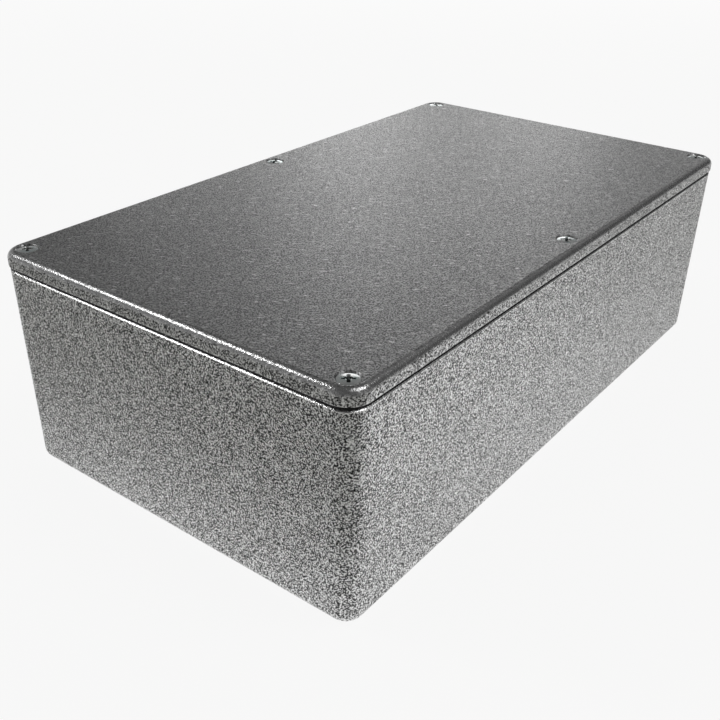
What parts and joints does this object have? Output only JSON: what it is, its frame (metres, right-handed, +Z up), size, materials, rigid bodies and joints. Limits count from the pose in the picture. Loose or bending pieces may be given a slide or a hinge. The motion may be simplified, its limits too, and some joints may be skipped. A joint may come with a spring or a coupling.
{
  "type": "die cast aluminium box",
  "caption": "Oblong die cast aluminium enclosure for circuits: a deep drafted box and a lapped lid with rounded edges, held down by countersunk cross-recess screws.",
  "frame": {"origin": "middle of the base, on the surface that the box stands on", "axes": "+X along the length, +Y across the width, +Z up towards the lid"},
  "size_m": [0.192, 0.111, 0.061],
  "materials": {
    "cast_box": "raw tumbled die casting with a fine bright and dark grain",
    "cast_lid": "raw tumbled die casting, a little darker and smoother than the box",
    "screw_zinc": "bright zinc plated steel"
  },
  "bodies": {
    "root": {"box": "cast_box", "lid": "cast_lid", "screw_front_left": "screw_zinc", "screw_front_middle": "screw_zinc", "screw_front_right": "screw_zinc", "screw_back_left": "screw_zinc", "screw_back_middle": "screw_zinc", "screw_back_right": "screw_zinc"}
  },
  "joints": []
}
